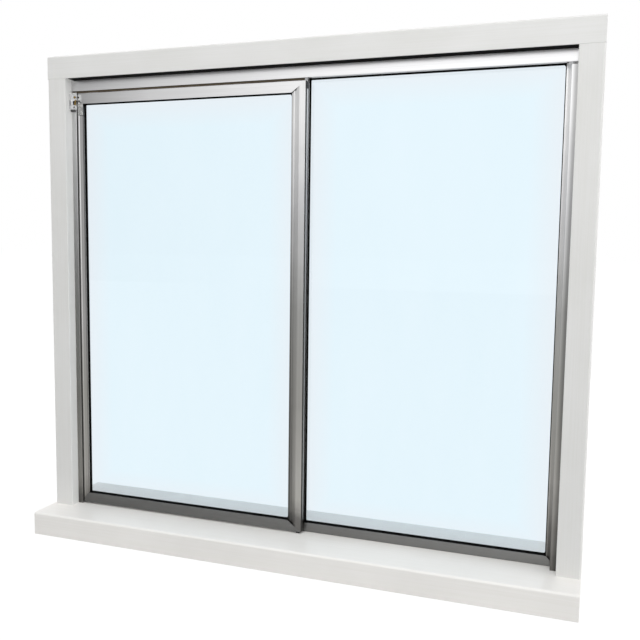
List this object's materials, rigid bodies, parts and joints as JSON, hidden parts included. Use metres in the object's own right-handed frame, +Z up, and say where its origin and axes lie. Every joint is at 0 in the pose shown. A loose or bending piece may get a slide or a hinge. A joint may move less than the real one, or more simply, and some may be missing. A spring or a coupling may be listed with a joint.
{
  "type": "concession window",
  "caption": "Aluminium sliding serving window with a fixed light, a top-hung sash and a corner latch, in a white timber surround on a deep sill board.",
  "frame": {"origin": "on the underside of the sill board, under the middle of the surround's width, in line with the front of the surround", "axes": "+X to the right as seen from the front, +Y from the front to the back, +Z up"},
  "size_m": [1.205, 0.253, 1.096],
  "materials": {
    "painted_timber": "white semi-gloss paint",
    "brushed_aluminium": "brushed and clear anodised",
    "glazing_rubber": "matt black",
    "brush_pile": "dark grey pile",
    "clear_glass": "clear float glass",
    "zinc_plate": "dull plated",
    "brass": "worn",
    "black_nylon": "matt black",
    "white_nylon": "matt off-white"
  },
  "bodies": {
    "root": {"bottom_guide": "black_nylon", "channel_brush": "brush_pile", "fixed_back_gasket": "glazing_rubber", "fixed_bottom_rail": "brushed_aluminium", "fixed_front_gasket": "glazing_rubber", "fixed_glass": "clear_glass", "fixed_left_stile": "brushed_aluminium", "fixed_right_stile": "brushed_aluminium", "fixed_top_rail": "brushed_aluminium", "head_board": "painted_timber", "head_brush": "brush_pile", "head_seal": "glazing_rubber", "header_track": "brushed_aluminium", "latch_bolt": "zinc_plate", "latch_bracket": "zinc_plate", "latch_foot": "black_nylon", "latch_lever": "brass", "latch_screw": "brass", "left_channel": "brushed_aluminium", "left_post": "painted_timber", "left_roller_carrier": "zinc_plate", "meeting_brush": "brush_pile", "right_channel": "brushed_aluminium", "right_post": "painted_timber", "right_roller_carrier": "zinc_plate", "sash_back_gasket": "glazing_rubber", "sash_bottom_rail": "brushed_aluminium", "sash_bumper": "glazing_rubber", "sash_end_cap": "black_nylon", "sash_front_gasket": "glazing_rubber", "sash_glass": "clear_glass", "sash_latch_plate": "zinc_plate", "sash_left_stile": "brushed_aluminium", "sash_plate_screw": "brass", "sash_pull": "zinc_plate", "sash_right_stile": "brushed_aluminium", "sash_top_rail": "brushed_aluminium", "sill_board": "painted_timber", "track_wheels": "white_nylon", "wheel_axles": "zinc_plate"}
  },
  "joints": []
}
